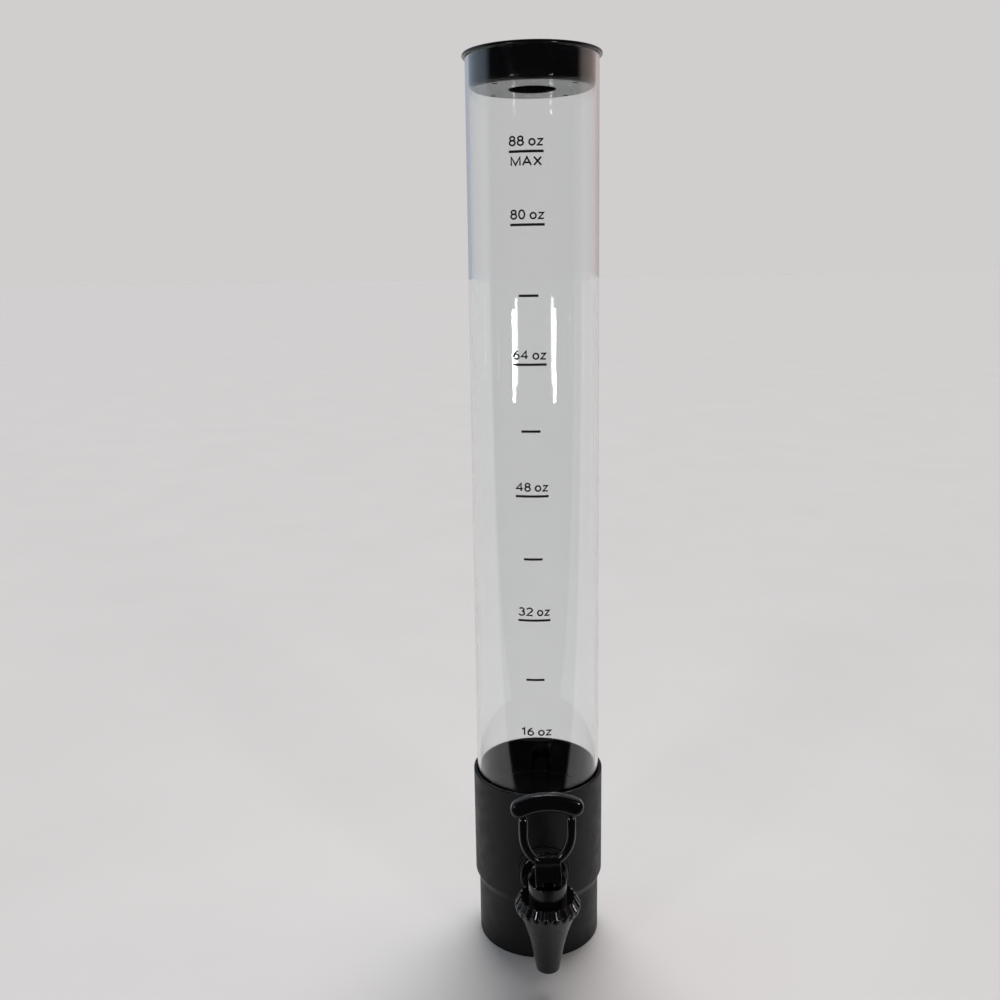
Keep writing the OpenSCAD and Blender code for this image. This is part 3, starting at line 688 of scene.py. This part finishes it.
# loop: the section runs down one arm, round the bottom and up the other arm, and thins towards the bottom
halfW = (lever["loopW"] - lever["armW"]) / 2
middle, bottom = lever["height"] * 0.5, lever["loopFoot"]
t = np.linspace(0, pi, 81)
curve = np.stack([-halfW * np.cos(t), middle - (middle - bottom) * np.sin(t)], 1)
top = lever["height"] - lever["plateH"] * 0.75
path = np.concatenate([[[-halfW, top], [-halfW, (top + middle) / 2]], curve,
                       [[halfW, (top + middle) / 2], [halfW, top]]])
ahead = np.gradient(path, axis=0)
ahead /= np.linalg.norm(ahead, axis=1)[:, None]
normals = np.stack([-ahead[:, 1], ahead[:, 0]], 1)
armWidths = lever["armW"] - lever["armThin"] * np.clip(1 - (path[:, 1] - bottom) / 12, 0, 1)
loop = swept(path, normals, capped(armWidths), capped(np.full(len(path), lever["thick"])), 3.0)

# neck: the same section, upright, narrowing into the loop
eyeTop, neckTop = lever["eyeTop"], lever["neckTop"]
rise = np.concatenate([[eyeTop, eyeTop], np.linspace(eyeTop + 0.6, neckTop, 12), [neckTop]])
neckWidths = np.interp(rise, [5, 9, neckTop], [lever["forkW"], lever["forkW"], lever["forkW"] - 3])
upright, acrossNeck = np.stack([0 * rise, rise], 1), np.tile([1.0, 0.0], (len(rise), 1))
neck = swept(upright, acrossNeck, capped(neckWidths), capped(np.full(len(rise), lever["thick"])), 5.0)

# cheeks: a side view (y, z) from the pin, with an involute under the front: when the lever has turned by a,
# the cam holds the pin at its rest height above the tap plus an even share of the lift
camRate = lever["lift"] / radians(lever["turn"])
a = np.linspace(0, radians(lever["turn"]), 17)
h = lever["sole"] + camRate * a
cam = np.stack([-h * np.sin(a) - camRate * np.cos(a), -h * np.cos(a) + camRate * np.sin(a)], 1)
rest = cam[-1] + 2 * np.array([-np.cos(a[-1]), np.sin(a[-1])])
cheekTop, cheekHalf = lever["cheekTop"], lever["cheekHalf"]
cheekSide = np.concatenate([
    [[5.25, -lever["sole"]]], cam,
    [rest, rest + (1, 2), (-cheekHalf, cheekTop), (cheekHalf, cheekTop), (5.85, 2)]])


def cheek(inner, outer, side, centre, ease):
    # slices of a side view, drawn in towards a centre by a quarter circle at both faces; the outline lies
    # about a reach from the centre, so that a share of ease / reach makes an inset of about ease
    q = np.linspace(0, pi / 2, 6)
    x = np.concatenate([[inner], inner + ease - ease * np.cos(q), outer - ease + ease * np.sin(q), [outer]])
    inset = np.concatenate([[0], ease - ease * np.sin(q), ease - ease * np.cos(q), [0]])
    size = capped(1 - inset / lever["cheekReach"])
    flat = centre + (side - centre)[None] * size[:, None, None]
    points = np.concatenate([np.broadcast_to(x[:, None, None], (len(x), len(side), 1)), flat], -1)
    return points.reshape(-1, 3), gridFaces(len(x), len(side))


eye, outerX = lever["eyeW"] / 2, lever["forkW"] / 2
webFront, webFoot = -eye - lever["eyeClear"], lever["webFoot"]
web = np.array([[webFront, webFoot], [lever["webOut"], webFoot], [-cheekHalf, cheekTop],
                [cheekHalf, cheekTop], [cheekHalf, 6], [webFront, eyeTop]])
spans = (eye, outerX), (-outerX, -eye)
cheekMiddle = cheekSide.mean(0)
cheeks = [cheek(inner, outer, cheekSide, cheekMiddle, lever["cheekEase"]) for inner, outer in spans]
cheeks.append(cheek(-eye - 0.8, eye + 0.8, web, np.array([webFront - 0.6, 4.0]), 0.1))
pivot = (0, -tap["reach"], lever["pinZ"])
addPiece("tapLever", [moved(part, pivot) for part in [plate, loop, neck] + cheeks], absGloss,
         "lever", ["lever"], sharp=55)
print("lever made")

# return spring, drawn at rest: its foot stands on the clip, which in use rises with the stem, and its top
# stays under the washer
spring = {"coilR": 5.2, "wireR": 0.45, "turns": 6, "footZ": 68.0, "topZ": 82.7, "stepsPerTurn": 48,
          "sides": 12}


def helix(count):
    # x = r cos a, y = r sin a, and a height that grows evenly with a; b goes round the wire, which is capped
    a = np.linspace(0, 2 * pi * spring["turns"], count)
    a = np.concatenate([a[:1], a, a[-1:]])[:, None]
    b = np.linspace(0, 2 * pi, spring["sides"], endpoint=False)
    wire = capped(np.full(len(a), spring["wireR"]))[:, None]
    r = spring["coilR"] + wire * np.cos(b)
    rise = spring["topZ"] - spring["footZ"] - 2 * spring["wireR"]
    z = spring["footZ"] + spring["wireR"] + rise * a / a[-1] + wire * np.sin(b)
    points = np.stack([r * np.cos(a), r * np.sin(a), z], -1)
    return points.reshape(-1, 3), gridFaces(len(a), spring["sides"])


ends = [(0, -tap["reach"] * mm, spring[end] * mm) for end in ("footZ", "topZ")]
coil = moved(helix(spring["stepsPerTurn"] * spring["turns"] + 1), at)
addPiece("returnSpring", [coil], steelDrawn, "tower", ["stem_spring"], bend=("stem", "tower", *ends))
print("spring made")

# pieces that keep the frame's own mesh take a finish of this file
finishes = {"tube_seal": rubberBlack, "outer_washer": rubberBlack, "inner_washer": rubberBlack,
            "shank_nut": absMatt, "nozzle_seal": siliconeMilky, "valve_stem": absGloss,
            "stem_o_ring": rubberBlack, "spring_washer": steelDrawn, "spring_clip": steelDrawn,
            "seat_cup": siliconeMilky, "lever_pin": steelDrawn}
for name, material in finishes.items():
    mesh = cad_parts[name].data
    if mesh.materials:
        mesh.materials[0] = material
    else:
        mesh.materials.append(material)
print("frame pieces finished")

tableHalf = 40.0  # metres, so that its edge lies far behind the tower
tableMesh = bpy.data.meshes.new("table")
corners = [(x * tableHalf, y * tableHalf, 0) for x, y in ((-1, -1), (1, -1), (1, 1), (-1, 1))]
tableMesh.from_pydata(corners, [], [(0, 1, 2, 3)])
tableMesh.materials.append(boardPale)
table = bpy.data.objects.new("table", tableMesh)
bpy.context.scene.collection.objects.link(table)
